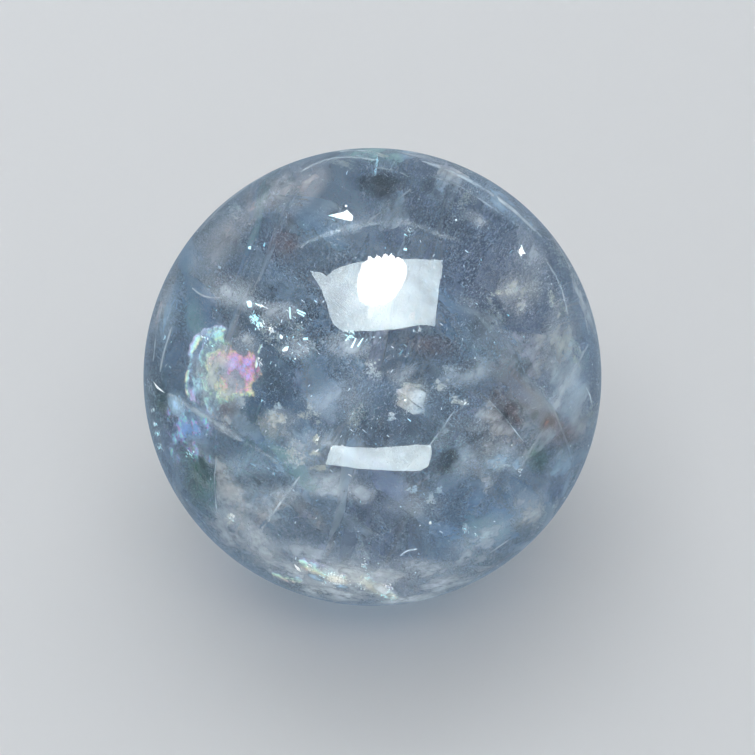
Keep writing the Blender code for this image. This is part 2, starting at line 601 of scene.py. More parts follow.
# The pale lines. Seen edge on, a healed crack is a fine pale line, straight along the cleavage and
# bowed where it runs close under the round surface.
LINE_STEPS = 60
LINE_ROWS = 6
LINE_TIP = 0.3
LINE_TAPER = 6
LINE_PATCHES = 0.5
LINE_LUMPS_PER_METRE = 300
ROUTE_STEP = 0.01
SOFT_STRETCH = (2.4, 1.0, 1.0)
SOFT_WISP = 0.0030
SEEN_LINES = [
    # Route in pixels, width in pixels, depth in mm, density.
    ([(168, 394), (196, 411), (224, 429), (242, 441)], 8.0, 4.0, 0.45),
    ([(242, 441), (272, 459), (291, 481)], 4.0, 4.5, 0.25),
    ([(368, 221), (390, 206), (413, 187)], 3.0, 6.0, 0.40),
    ([(296, 247), (340, 230), (386, 222), (415, 225), (437, 234), (462, 241)], 5.0, 5.0, 0.26),
    ([(422, 161), (445, 169), (467, 179), (490, 193), (512, 209), (527, 223), (542, 237)], 4.5, 3.0, 0.60),
    ([(430, 176), (455, 184), (478, 198), (500, 213)], 2.5, 3.5, 0.40),
    ([(300, 172), (325, 160), (350, 157), (376, 160)], 3.0, 3.0, 0.40),
    ([(330, 152), (350, 150.5), (368, 151)], 2.0, 2.0, 0.70),
    ([(372, 167), (396, 171), (414, 180)], 3.0, 4.0, 0.36),
    ([(217, 456), (214.5, 476), (215, 492), (217, 512), (222, 532)], 1.8, 6.9, 0.80),
    ([(258, 535), (278, 506), (300, 476)], 3.5, 5.0, 0.50),
    ([(247, 522), (262, 503), (276, 490)], 2.5, 5.0, 0.40),
    ([(256, 478), (264, 483)], 2.0, 5.0, 0.50),
    ([(490, 553), (500, 546), (509, 540)], 1.8, 3.0, 0.70),
    ([(586, 387), (590, 396), (592, 405)], 2.0, 2.0, 0.80),
    ([(400, 556), (407, 551), (417, 549)], 2.2, 5.0, 0.90),
    ([(489, 400), (505, 418), (524, 442)], 1.6, 8.9, 0.75),
    ([(454, 411), (443, 427), (430, 445)], 2.2, 9.0, 0.55),
    ([(160, 372), (164, 352), (172, 326)], 3.0, 2.5, 0.55),
    ([(543, 255), (560, 285), (568, 315)], 3.0, 3.0, 0.35),
    ([(519, 470), (548, 420), (588, 344)], 5.0, 5.5, 0.42),
    ([(192, 288), (204, 296), (222, 298)], 2.5, 4.0, 0.60),
    ([(550, 233), (567, 262), (580, 296), (589, 335)], 2.6, 1.8, 0.32),
    ([(163, 300), (157, 330), (153, 362)], 2.4, 1.6, 0.50),
    ([(174, 484), (187, 513), (206, 542)], 2.6, 1.8, 0.45),
    ([(236, 567), (262, 584), (292, 596)], 2.6, 1.6, 0.50),
    ([(460, 593), (496, 575), (530, 547)], 2.6, 1.6, 0.50),
    ([(196, 236), (220, 208), (250, 184)], 2.6, 1.8, 0.40),
]


def along_route(route, share):
    """The place a share of the way along a smooth curve through the points of a route."""
    last = len(route) - 2
    reach = share * (len(route) - 1)
    step = min(int(reach), last)
    part = reach - step
    before = route[max(step - 1, 0)]
    start, end = route[step], route[step + 1]
    after = route[min(step + 2, last + 1)]
    bend = (2 * before - 5 * start + 4 * end - after) * part**2
    bend += (3 * start - before - 3 * end + after) * part**3
    return start + ((end - before) * part + bend) / 2


def ribbon_pixel(route, width, u, v):
    """The pixel at a share u along a ribbon and v across it. Its ends taper."""
    spot = along_route(route, u)
    way = along_route(route, min(u + ROUTE_STEP, 1.0)) - along_route(route, max(u - ROUTE_STEP, 0.0))
    side = Vector((-way.y, way.x)).normalized()
    return spot + side * width * (v - 0.5) * min(1.0, LINE_TIP + LINE_TAPER * min(u, 1 - u))


def add_line(films, pixels, width, depth, density):
    """Adds a narrow ribbon that the photo shows along a route of pixels."""
    route = [Vector(pixel) for pixel in pixels]

    def place_of(u, v):
        """The ribbon's place behind its pixel."""
        return behind(ribbon_pixel(route, width, u, v), depth / 1000)

    def density_of(u, v, point):
        """Patchy, densest along the ribbon's middle."""
        patches = 1 + LINE_PATCHES * noise.fractal(point * LINE_LUMPS_PER_METRE, 0.8, 2.0, 3)
        return density * patches * (1 - (2 * v - 1) ** 2)

    films.add(LINE_STEPS, LINE_ROWS, place_of, density_of)


def soft_finish(name, colour, clear, full):
    """A soft film, as solid as it is thick, with wisps that run along the grain between clear and full."""
    material, sockets, place = new_finish(name, {"Base Color": colour, "Roughness": 0.6, "IOR": 1.3})
    grain = place.moved((0.0, 0.0, 0.0), SOFT_STRETCH, GRAIN_TURN)
    wisps = grain.clouds(SOFT_WISP, detail=4.0, roughness=0.7)
    (place.kept("thickness") * wisps.rise(clear, full)).into(sockets["Alpha"])
    return material, sockets, place


lines = Films()
for pixels, width, depth, density in SEEN_LINES:
    add_line(lines, pixels, width, depth, density)
lines.finish("pale_lines", soft_finish("pale_line", (0.92, 0.97, 1.0, 1.0), 0.10, 0.60)[0])

# The haze. Broad soft patches of finer cracks brighten the stone in places. Elsewhere a near-black
# patch darkens it: that is painted shade, standing in for the dark surroundings that show through clearer
# stone. Other dark patches are dark green or dark blue, and some have a touch of rust where stain has
# crept in.
PEARL, SAND, ROSE, ICE = (0.95, 0.97, 1.0), (1.0, 0.95, 0.85), (1.0, 0.87, 0.84), (0.62, 0.82, 1.0)
# The first colour on this line, near black, is painted shade for the dark patches.
PAINTED_SHADE, RUST, MOSS, INK = (0.04, 0.055, 0.07), (0.19, 0.10, 0.08), (0.05, 0.14, 0.10), (0.05, 0.09, 0.26)
AZURE = (0.28, 0.52, 1.0)
SEEN_HAZE = [
    # Middle, half width and half height in pixels, turn in degrees, depth in mm, density, colour.
    ((297, 187), (44, 24), -35, 5, 0.45, ROSE), ((532, 262), (20, 42), -15, 5, 0.45, PEARL),
    ((562, 335), (22, 56), 5, 6, 0.42, SAND), ((497, 462), (21, 13), -20, 5, 0.60, ICE),
    ((527, 517), (24, 16), -35, 4, 0.60, SAND), ((355, 584), (70, 17), 8, 3, 0.85, PEARL),
    ((230, 530), (36, 22), 38, 4, 0.65, PEARL), ((440, 586), (60, 16), -16, 3, 0.65, PEARL),
    ((290, 572), (50, 16), 22, 3, 0.70, PEARL), ((322, 482), (42, 15), -10, 7, 0.50, PEARL),
    ((412, 397), (22, 20), 0, 8, 0.50, SAND), ((168, 318), (13, 50), 14, 4, 0.40, ICE),
    ((212, 250), (26, 50), 38, 5, 0.35, PEARL), ((240, 300), (34, 14), 12, 5, 0.40, PEARL),
    ((335, 400), (40, 26), 0, 12, 0.40, PEARL), ((505, 205), (66, 13), 38, 3, 0.45, ICE),
    ((425, 505), (22, 16), 10, 6, 0.45, PEARL), ((350, 490), (38, 15), 15, 6, 0.50, PEARL),
    ((222, 378), (36, 44), 10, 7, 0.45, PEARL), ((470, 372), (34, 16), -20, 8, 0.40, PEARL),
    ((560, 395), (14, 50), 30, 4, 0.40, PEARL), ((250, 495), (24, 34), 20, 6, 0.45, PEARL),
    ((384, 182), (42, 18), 5, 2.5, 0.80, PAINTED_SHADE), ((440, 216), (50, 24), 20, 3, 0.45, PAINTED_SHADE),
    ((390, 212), (26, 14), 0, 3, 0.50, PAINTED_SHADE), ((480, 440), (30, 22), 40, 4, 0.50, PAINTED_SHADE),
    ((285, 238), (20, 34), 10, 6, 0.45, RUST), ((448, 460), (14, 24), 35, 3, 0.85, PAINTED_SHADE),
    ((458, 507), (16, 30), 0, 6, 0.30, PAINTED_SHADE), ((372, 524), (70, 15), -3, 6, 0.38, PAINTED_SHADE),
    ((506, 408), (30, 11), 48, 2.5, 0.95, RUST), ((555, 431), (30, 20), 30, 2.5, 0.80, RUST),
    ((538, 460), (14, 18), 10, 2.5, 0.65, MOSS), ((557, 488), (10, 18), 20, 3, 0.70, INK),
    ((198, 474), (19, 44), -17, 2.5, 0.95, MOSS), ((278, 385), (22, 26), 10, 6, 0.50, PAINTED_SHADE),
    ((278, 425), (24, 19), 10, 4, 0.55, SAND), ((312, 444), (30, 16), 0, 5, 0.50, PEARL),
    ((346, 345), (28, 15), 10, 4, 0.55, PEARL), ((520, 294), (26, 26), 0, 4, 0.50, SAND),
    ((226, 290), (30, 20), 10, 4, 0.50, PEARL), ((404, 570), (48, 14), -6, 3, 0.65, PEARL),
    ((348, 572), (40, 12), 6, 2.5, 0.60, PEARL), ((246, 342), (16, 12), 0, 4, 0.45, PEARL),
    ((372, 430), (48, 13), 0, 8, 0.45, PAINTED_SHADE), ((484, 322), (26, 34), 0, 7, 0.45, PAINTED_SHADE),
    ((320, 560), (90, 22), 6, 5, 0.50, PEARL), ((480, 545), (50, 26), -38, 4, 0.50, PEARL),
    ((250, 470), (30, 20), 40, 5, 0.40, ICE), ((200, 200), (30, 20), -45, 4, 0.30, SAND),
    ((432, 345), (36, 14), 8, 7, 0.40, RUST), ((160, 400), (9, 14), 0, 2, 0.60, MOSS),
    ((188, 432), (20, 18), 15, 2.8, 0.62, AZURE), ((226, 406), (15, 13), 0, 4.4, 0.60, RUST),
    ((330, 594), (46, 8), 9, 2, 0.95, PEARL), ((408, 600), (46, 7), -8, 2, 0.95, PEARL),
    ((352, 577), (42, 9), 12, 2.2, 0.90, PEARL), ((380, 590), (26, 8), 22, 2, 0.90, SAND),
    ((258, 540), (34, 16), 40, 3, 0.55, PEARL), ((420, 573), (40, 12), -12, 2.5, 0.55, PEARL),
    ((176, 405), (10, 17), -20, 1.3, 0.95, ICE), ((527, 504), (24, 18), -35, 3, 0.40, PEARL),
    ((262, 482), (36, 11), 0, 3.2, 0.80, PAINTED_SHADE), ((443, 190), (26, 14), 20, 2.2, 1.05, PAINTED_SHADE),
    ((500, 412), (24, 13), 48, 2.3, 0.95, PAINTED_SHADE), ((518, 366), (17, 34), 0, 4.5, 0.65, PAINTED_SHADE),
    ((388, 190), (24, 18), 0, 2.2, 0.90, PAINTED_SHADE), ((470, 366), (34, 9), 0, 4, 0.60, PAINTED_SHADE),
    ((379, 577), (46, 9), 5, 1.8, 0.60, PEARL), ((262, 546), (36, 12), 44, 2.2, 0.50, PEARL),
    ((400, 508), (42, 22), -32, 7, 0.25, PEARL), ((327, 491), (26, 10), 0, 5, 0.40, PEARL),
    ((338, 580), (17, 4.5), 12, 1.9, 1.5, SAND), ((366, 579), (8, 5.5), 20, 1.9, 1.5, SAND),
    ((384, 591), (15, 5), 25, 1.7, 1.6, PEARL), ((392, 597), (7, 4), 20, 1.5, 1.5, SAND),
    ((316, 577), (11, 3), 22, 1.9, 1.4, ICE), ((342, 587), (8, 2.5), 10, 1.7, 1.4, ICE),
    ((524, 410), (20, 13), 40, 2.2, 0.80, PAINTED_SHADE), ((296, 348), (22, 13), 0, 4, 0.40, PEARL),
    ((353, 575), (20, 8), 8, 1.6, 0.90, PEARL), ((228, 246), (20, 15), -45, 3, 0.45, PAINTED_SHADE),
    ((556, 540), (9, 40), 42, 1.8, 0.60, PEARL), ((502, 577), (42, 8), -32, 1.8, 0.65, PEARL),
    ((186, 520), (7, 34), -28, 1.8, 0.50, PEARL), ((250, 575), (36, 7), 34, 1.8, 0.65, PEARL),
    ((583, 300), (6, 50), -20, 1.8, 0.55, PEARL), ((164, 300), (6, 44), 20, 1.8, 0.50, ROSE),
    ((519, 466), (13, 12), 0, 2.8, 0.45, ICE), ((477, 220), (20, 9), 30, 2.8, 0.40, PEARL),
    ((210, 463), (15, 20), -17, 2, 0.55, PAINTED_SHADE), ((310, 462), (30, 13), 0, 4, 0.45, PEARL),
    ((281, 313), (24, 14), 0, 4, 0.40, PEARL), ((406, 375), (22, 14), 0, 5, 0.45, PEARL),
    ((245, 215), (70, 16), -48, 4, 0.30, ROSE), ((560, 470), (16, 34), 28, 3, 0.40, ICE),
]
HAZE_SPOKES = 40
HAZE_RINGS = 14
HAZE_HOLE = 0.03
HAZE_WAVE = 0.0012
HAZE_WAVES_PER_METRE = 150
HAZE_PATCHES = 0.5
HAZE_LUMPS_PER_METRE = 260
HAZE_FALL = 1.3
HAZE_SLANT = 0.25
FAR_HAZE_COUNT = 44
FAR_HAZE_REACH = (0.6, 0.88)
FAR_HAZE_TURN = 0.4
FAR_HAZE_SIDE = (0.004, 0.010)
FAR_HAZE_FLATNESS = 0.6
FAR_HAZE_DENSITY = (0.4, 0.75)
# What points at the viewer more than this lies on the side that the photo shows.
SEEN_SIDE = 0.1
# The near-black entries put painted shade on some of the far patches.
FAR_HAZE_COLOURS = (PEARL, PEARL, PEARL, SAND, ROSE, ICE, PAINTED_SHADE, PAINTED_SHADE, MOSS, RUST)
HAZE_SEED = 12


def add_patch(films, point_at, density):
    """Adds a patch that thins out to its rim. point_at(x, y) gives its surface, from -1 to 1 each way."""

    def place_of(u, v):
        """The patch's waved surface a share of the way round and a share of the way out."""
        turn = math.tau * u
        out = HAZE_HOLE + (1 - HAZE_HOLE) * v
        point = point_at(out * math.cos(turn), out * math.sin(turn))
        return point + TO_VIEWER * HAZE_WAVE * noise.fractal(point * HAZE_WAVES_PER_METRE, 0.9, 2.0, 2)

    def density_of(u, v, point):
        """Patchy, and densest in the middle."""
        patches = 1 + HAZE_PATCHES * noise.fractal(point * HAZE_LUMPS_PER_METRE, 0.8, 2.0, 3)
        return density * (1 - v**2) ** HAZE_FALL * patches

    films.add(HAZE_SPOKES, HAZE_RINGS, place_of, density_of)


def seen_patch(middle, halves, turn, depth):
    """The surface of a patch that the photo shows round a middle, in pixels."""
    cosine, sine = math.cos(math.radians(turn)), math.sin(math.radians(turn))

    def point_at(x, y):
        """The place behind the pixel. The patch lies deeper at one end."""
        wide, high = x * halves[0], y * halves[1]
        pixel = (middle[0] + wide * cosine - high * sine, middle[1] + wide * sine + high * cosine)
        return behind(pixel, depth / 1000 * (1 + HAZE_SLANT * x))

    return point_at


def far_patch(middle, across, along):
    """The surface of a patch round a point inside the stone."""
    return lambda x, y: middle + across * x + along * y


haze = Films()
hues = []
for middle, halves, turn, depth, density, hue in SEEN_HAZE:
    add_patch(haze, seen_patch(middle, halves, turn, depth), density)
    hues += [(*hue, 1.0)] * (len(haze.points) - len(hues))
chance = random.Random(HAZE_SEED)
for _ in range(FAR_HAZE_COUNT):
    out = scattered(chance, 1).normalized()
    middle = BALL_CENTRE + out * BALL_RADIUS * chance.uniform(*FAR_HAZE_REACH)
    across, along = plane_axes((out + scattered(chance, FAR_HAZE_TURN)).normalized())
    hue = chance.choice(FAR_HAZE_COLOURS)
    wide = chance.uniform(*FAR_HAZE_SIDE)
    high = chance.uniform(*FAR_HAZE_SIDE) * FAR_HAZE_FLATNESS
    density = chance.uniform(*FAR_HAZE_DENSITY)
    if out.dot(TO_VIEWER) < SEEN_SIDE:
        add_patch(haze, far_patch(middle, across * wide, along * high), density)
        hues += [(*hue, 1.0)] * (len(haze.points) - len(hues))

# This finish carries both the pale haze and the near-black painted shade, by each point's hue.
haze_and_shade_finish, sockets, place = soft_finish("haze", (0.95, 0.97, 1.0, 1.0), 0.26, 0.66)
place.kept("hue", "Color").into(sockets["Base Color"])
haze_and_shade_piece = haze.finish("haze_and_painted_shade", haze_and_shade_finish)
hue = haze_and_shade_piece.data.attributes.new("hue", "FLOAT_COLOR", "POINT")
hue.data.foreach_set("color", [number for colour in hues for number in colour])

# The rainbow fractures. A crack that holds a film of air shows the colours of a soap bubble, in bands
# that follow the film's thickness. The largest lies at the left, below the surface. The fringes also glow
# faintly with painted light, though they are no lamp.
FRACTURE_CORNERS_PX = ((180, 322), (272, 322), (272, 426), (180, 426))
FRACTURE_WIDE_PX = FRACTURE_CORNERS_PX[2][0] - FRACTURE_CORNERS_PX[0][0]
FRACTURE_HIGH_PX = FRACTURE_CORNERS_PX[2][1] - FRACTURE_CORNERS_PX[0][1]
FRACTURE_DEPTHS = (0.009, 0.005, 0.006, 0.010)
FRACTURE_STEPS = 90
FRACTURE_WAVE = 0.0006
FRACTURE_WAVES_PER_METRE = 260
FRACTURE_FILL = 0.26
FRACTURE_FILL_RISE = 0.66
FRACTURE_EDGE_RISE = 0.14
FRACTURE_RAGGED_PX = 2
FRACTURE_PATCHES = 0.45
FRACTURE_LUMPS_PER_METRE = 420
FRACTURE_CORE_PX = (62.0, 48.0)
FRACTURE_RIM_PX = 56.0
CORE_ORDER = 1.84
ORDER_FALL = 1.05
ORDER_FALL_POWER = 1.3
ARC_SPACING_PX = 9.0
ARC_ORDERS = 1.3
FRACTURE_STREAK_ORDERS = 0.7
CORE_VIVID = 0.30
VIVID_FALL = 0.12
FRINGE_PEAKS = {"Red": 0.60, "Green": 0.27, "Blue": 0.0}
PAINTED_FRINGE_GLOW = 0.40
STREAK_WIDTH = 0.0016
STREAK_SHARE = 3.2
STREAK_GAPS = 1.6
FRACTURE_OUTLINE_PX = [
    (12, 28), (24, 8), (48, 7), (50, 20), (66, 32), (80, 24), (83, 38), (79, 60), (76, 74), (60, 80),
    (50, 84), (38, 92), (24, 84), (12, 78), (7, 54),
]


def fringes(order, vivid):
    """The colour of an air film: blue, green, yellow, red and violet follow as it grows thicker."""
    channels = {}
    for channel, peak in FRINGE_PEAKS.items():
        channels[channel] = (1 - vivid) + vivid * ((order - peak) * math.tau).cosine()
    return order.node("ShaderNodeCombineColor", {}, channels, "Color")


def signed_inside(outline, x, y):
    """How far inside an outline a place lies, in pixels. It is below 0 outside."""
    inside = False
    nearest = 1e9
    for number, (x1, y1) in enumerate(outline):
        x0, y0 = outline[number - 1]
        if (y0 > y) != (y1 > y) and x < x0 + (y - y0) / (y1 - y0) * (x1 - x0):
            inside = not inside
        long = (x1 - x0) ** 2 + (y1 - y0) ** 2
        share = min(1.0, max(0.0, ((x - x0) * (x1 - x0) + (y - y0) * (y1 - y0)) / long))
        nearest = min(nearest, math.hypot(x - x0 - share * (x1 - x0), y - y0 - share * (y1 - y0)))
    return nearest if inside else -nearest


def rainbow_finish(name, film_of, streak_stretch, solidity):
    """A finish of fringes, which also glow faintly with painted light. film_of(place, spot, streaks) gives
    the film's order, which grows with its thickness, and how vivid its colours are."""
    # The emission strength and the fringe colour fed to Emission Color below are a painted glow.
    plain = {"Roughness": 0.35, "IOR": 1.3, "Emission Strength": PAINTED_FRINGE_GLOW}
    material, sockets, place = new_finish(name, plain)
    grain = place.moved((0.0, 0.0, 0.0), streak_stretch, GRAIN_TURN)
    streaks = grain.clouds(STREAK_WIDTH, detail=4.0, roughness=0.65)
    colour = fringes(*film_of(place, place.kept("spot", "Vector"), streaks))
    colour.into(sockets["Base Color"])
    colour.into(sockets["Emission Color"])
    solid = (place.kept("thickness") + STREAK_SHARE * streaks - STREAK_GAPS).rise(0.0, SOLID_AT)
    (solidity * solid).into(sockets["Alpha"])
    return material


def fracture_film(place, spot, streaks):
    """Thickest and most vivid at the fracture's core, thinning out to its rim in fine arcs."""
    core = (*FRACTURE_CORE_PX, 0.0)
    from_core = spot.node("ShaderNodeVectorMath", {"operation": "SUBTRACT"}, {0: spot, 1: core})
    out = from_core.node("ShaderNodeVectorMath", {"operation": "LENGTH"}, {0: from_core}, "Value")
    x, y = (from_core.node("ShaderNodeSeparateXYZ", {}, {0: from_core}, axis) for axis in "XY")
    turn = y.math("ARCTAN2", y, -1 * x)
    arcs = out.node("ShaderNodeCombineXYZ", {}, {"X": out * (1 / ARC_SPACING_PX), "Y": turn})
    arcs = arcs.clouds(1.0, detail=5.0, roughness=0.75)
    out_share = out * (1 / FRACTURE_RIM_PX)
    order = CORE_ORDER - ORDER_FALL * out_share**ORDER_FALL_POWER
    order = order + ARC_ORDERS * (arcs - 0.5) + FRACTURE_STREAK_ORDERS * (streaks - 0.5)
    return order, CORE_VIVID - VIVID_FALL * out_share


fracture = Films()
fracture_corners = [behind(pixel, depth) for pixel, depth in zip(FRACTURE_CORNERS_PX, FRACTURE_DEPTHS)]


def fracture_place(u, v):
    """The fracture's gently uneven surface."""
    point = between(fracture_corners, u, v)
    waves = noise.fractal(point * FRACTURE_WAVES_PER_METRE, 0.8, 2.0, 3)
    return point + TO_VIEWER * FRACTURE_WAVE * waves


def fracture_density(u, v, point):
    """Dense right up to a ragged outline, and denser to the right."""
    inset = signed_inside(FRACTURE_OUTLINE_PX, u * FRACTURE_WIDE_PX, v * FRACTURE_HIGH_PX)
    patches = noise.fractal(point * FRACTURE_LUMPS_PER_METRE, 0.7, 2.0, 3)
    edge = FRACTURE_EDGE_RISE * (inset + FRACTURE_RAGGED_PX * patches)
    return min(FRACTURE_FILL + FRACTURE_FILL_RISE * u, edge) + FRACTURE_PATCHES * patches


fracture_size = (FRACTURE_WIDE_PX, FRACTURE_HIGH_PX)
fracture.add(FRACTURE_STEPS, FRACTURE_STEPS, fracture_place, fracture_density, *fracture_size)
fracture_finish = rainbow_finish("rainbow_fracture", fracture_film, (2.6, 1.0, 1.0), solidity=0.75)
fracture.finish("rainbow_fracture", fracture_finish)

# The smaller rainbows: fringes bowed over the large fracture, blue and violet speckles at the lower left,
# a long bright band low in front, and a few more round the sides and back.
BOWED_ROUTES = [
    # Route in pixels, width in pixels, depth in mm, density.
    ([(191, 353), (196, 341), (205, 332), (215, 328), (226, 329)], 10.0, 6.0, 0.9),
    ([(189, 370), (187, 382), (189, 394), (195, 404)], 7.0, 7.0, 0.5),
    ([(272, 573), (288, 577), (302, 581)], 10.0, 2.5, 0.5),
    ([(299, 560), (310, 565), (328, 573), (346, 578)], 14.0, 2.6, 0.85),
    ([(356, 577), (370, 582), (382, 589), (397, 597)], 13.0, 2.4, 0.6),
    ([(262, 344), (258, 356), (256, 368)], 4.0, 4.9, 0.6),
]
SPECKLE_CORNERS_PX = ((160, 396), (216, 412), (218, 470), (168, 462))
SPECKLE_DEPTH = 0.003
SPECKLE_STEPS = 70
SPECKLE_FADE = 4
SPECKLE_FILL = 0.35
SPECKLE_PATCHES = 0.9
SPECKLE_LUMPS_PER_METRE = 520
FAR_RAINBOW_COUNT = 6
FAR_RAINBOW_STEPS = 44
FAR_RAINBOW_SIDE = (0.006, 0.013)
FAR_RAINBOW_SWAY = (-0.2, 0.2)
FAR_RAINBOW_LIFT = (-0.5, 0.6)
FAR_RAINBOW_REACH = (0.7, 0.85)
FAR_RAINBOW_TURN = 0.5
FAR_RAINBOW_WAVE = 0.0008
FAR_RAINBOW_WAVES_PER_METRE = 200
FAR_RAINBOW_RIM = 0.42
FAR_RAINBOW_RAGGED = 0.12
FAR_RAINBOW_FILL = 0.7
FAR_RAINBOW_EDGE_RISE = 6
FAR_RAINBOW_PATCHES = 0.3
FAR_RAINBOW_LUMPS_PER_METRE = 240
FAR_RAINBOW_SEED = 5
# What each film's order starts from, what its fringes and its streaks add, and how vivid it is.
BAND_FILM = (0.78, 0.75, 0.9, 0.17)
SPECKLE_FILM = (0.96, 1.6, 0.6, 0.30)
PATCHY_FILM = (0.0, 2.6, 0.8, 0.26)
SPECK = 0.0007
RAINBOW_PATCH = 0.009


def mixed_film(film, pattern, streaks):
    """A film's order and how vivid it is, with its fringes laid out by a pattern."""
    start, pattern_orders, streak_orders, vivid = film
    return start + pattern_orders * pattern + streak_orders * (streaks - 0.5), vivid


def banded_film(place, spot, streaks):
    """Fringes that lie along a ribbon, from violet through blue, green and yellow across it."""
    return mixed_film(BAND_FILM, spot.node("ShaderNodeSeparateXYZ", {}, {0: spot}, "Y"), streaks)


def speckled_film(place, spot, streaks):
    """Mostly blue and violet, with specks of every colour."""
    return mixed_film(SPECKLE_FILM, place.clouds(SPECK, detail=3.0) - 0.5, streaks)


def patchy_film(place, spot, streaks):
    """Fringes that wander in broad patches."""
    return mixed_film(PATCHY_FILM, place.clouds(RAINBOW_PATCH, detail=2.0), streaks)


banded = Films()
for pixels, width, depth, density in BOWED_ROUTES:
    add_line(banded, pixels, width, depth, density)
banded_finish = rainbow_finish("rainbow_bands", banded_film, (1.4, 1.0, 1.0), solidity=0.8)
banded.finish("rainbow_bands", banded_finish)

speckle_corners = [behind(pixel, SPECKLE_DEPTH) for pixel in SPECKLE_CORNERS_PX]


def speckle_density(u, v, point):
    """Uneven, and fading out at its four sides."""
    edge = min(1.0, SPECKLE_FADE * min(u, v, 1 - u, 1 - v))
    patches = noise.fractal(point * SPECKLE_LUMPS_PER_METRE, 0.7, 2.0, 3)
    return edge * (SPECKLE_FILL + SPECKLE_PATCHES * patches)


speckles = Films()
speckles.add(SPECKLE_STEPS, SPECKLE_STEPS, lambda u, v: between(speckle_corners, u, v), speckle_density)
speckled_finish = rainbow_finish("rainbow_speckles", speckled_film, (1.0, 1.0, 1.0), solidity=0.6)
speckles.finish("rainbow_speckles", speckled_finish)


def far_surface(middle, out, across, along):
    """The uneven surface of a fracture round a point inside the stone."""

    def place_of(u, v):
        """The place at shares u and v of the fracture's two sides."""
        point = middle + across * (u - 0.5) + along * (v - 0.5)
        waves = noise.fractal(point * FAR_RAINBOW_WAVES_PER_METRE, 0.8, 2.0, 3)
        return point + out * FAR_RAINBOW_WAVE * waves

    return place_of


def far_density(u, v, point):
    """Dense in the middle, with a ragged round rim."""
    inset = FAR_RAINBOW_RIM - math.hypot(u - 0.5, v - 0.5)
    patches = noise.fractal(point * FAR_RAINBOW_LUMPS_PER_METRE, 0.7, 2.0, 3)
    edge = FAR_RAINBOW_EDGE_RISE * (inset + FAR_RAINBOW_RAGGED * patches)
    return min(FAR_RAINBOW_FILL, edge) + FAR_RAINBOW_PATCHES * patches


chance = random.Random(FAR_RAINBOW_SEED)
far_rainbows = Films()
for number in range(FAR_RAINBOW_COUNT):
    heading = math.tau * (number + 0.5) / FAR_RAINBOW_COUNT + chance.uniform(*FAR_RAINBOW_SWAY)
    lift = chance.uniform(*FAR_RAINBOW_LIFT)
    out = Vector((math.sin(heading) * math.cos(lift), math.cos(heading) * math.cos(lift), math.sin(lift)))
    middle = BALL_CENTRE + out * BALL_RADIUS * chance.uniform(*FAR_RAINBOW_REACH)
    side = chance.uniform(*FAR_RAINBOW_SIDE)
    across, along = plane_axes((out + scattered(chance, FAR_RAINBOW_TURN)).normalized())
    if out.dot(TO_VIEWER) < SEEN_SIDE:
        place_of = far_surface(middle, out, across * side, along * side)
        far_rainbows.add(FAR_RAINBOW_STEPS, FAR_RAINBOW_STEPS, place_of, far_density)
far_finish = rainbow_finish("far_rainbows", patchy_film, (2.0, 1.0, 1.0), solidity=0.6)
far_rainbows.finish("far_rainbows", far_finish)

# The bright flakes. Here and there a small crack flashes white or icy blue. The flash is a painted glint:
# the flakes glow by themselves, in place of the lamp that such a crack would mirror. Some lie alone and
# some in clusters.
BRIGHT_OUTLINES_PX = [
    # Outline in pixels, then depth in mm.
    ([(328, 215.5), (337, 213.5), (344, 212), (347, 209.5), (349, 212), (353, 216), (352, 221),
      (345, 219.8)], 4.0),
    ([(345, 205), (347.2, 205), (347, 207.2), (345, 207)], 4.0),
    ([(404, 248), (407, 248.5), (406.5, 250.5), (403.5, 250)], 4.0),
    ([(455, 219), (457, 219), (457, 221), (455, 221)], 5.0),
    ([(246.4, 301.6), (250, 300.4), (252, 303), (251.6, 307), (248.4, 307.4)], 4.0),
    ([(255, 303), (262.4, 305.5), (262, 307.2), (256, 304.6)], 4.0),
    ([(289, 307), (290.2, 307), (291.4, 319.6), (289.6, 318)], 6.0),
    ([(297, 309), (305.8, 313), (305.2, 314.4), (296.4, 310.4)], 6.0),
    ([(297.4, 311.8), (304.6, 315.3), (303.8, 316.7), (297, 313)], 6.0),
    ([(302.6, 338), (307.6, 337.4), (308, 339.6), (303.4, 340.2)], 5.0),
    ([(282, 350), (285, 347), (289, 346), (287.6, 350.4), (283, 351.6)], 5.0),
    ([(280, 334), (283, 337), (281.8, 339), (279.6, 337.4)], 5.0),
    ([(350.6, 347.4), (355.5, 338), (356.6, 338.6), (352.2, 348)], 4.0),
    ([(357, 346), (362.6, 337.6), (363.6, 338.2), (358.4, 346.6)], 4.0),
    ([(345, 340.6), (348.6, 335.8), (349.6, 336.4), (346.2, 341.2)], 4.0),
    ([(315, 441), (318, 436.4), (319.6, 436.4), (317.6, 441)], 4.0),
    ([(312, 452.6), (319, 448.8), (317, 452)], 4.0),
    ([(404.4, 399), (406.4, 399.4), (406, 401.4), (404.2, 401)], 7.5),
    ([(153, 381), (155.5, 384), (165, 393), (157, 388.5)], 2.0),
    ([(294, 564), (299, 568), (301, 572), (296.5, 569)], 2.5),
    ([(248, 246.6), (251, 246), (250.6, 249.4), (248.4, 249)], 5.0),
    ([(519, 250), (522, 246), (523, 250.5), (526, 254), (522.5, 253.5), (521, 256.5), (519.4, 253)], 4.0),
    ([(429, 522), (431, 521.4), (431.4, 524), (429.4, 524.4)], 6.0),
]
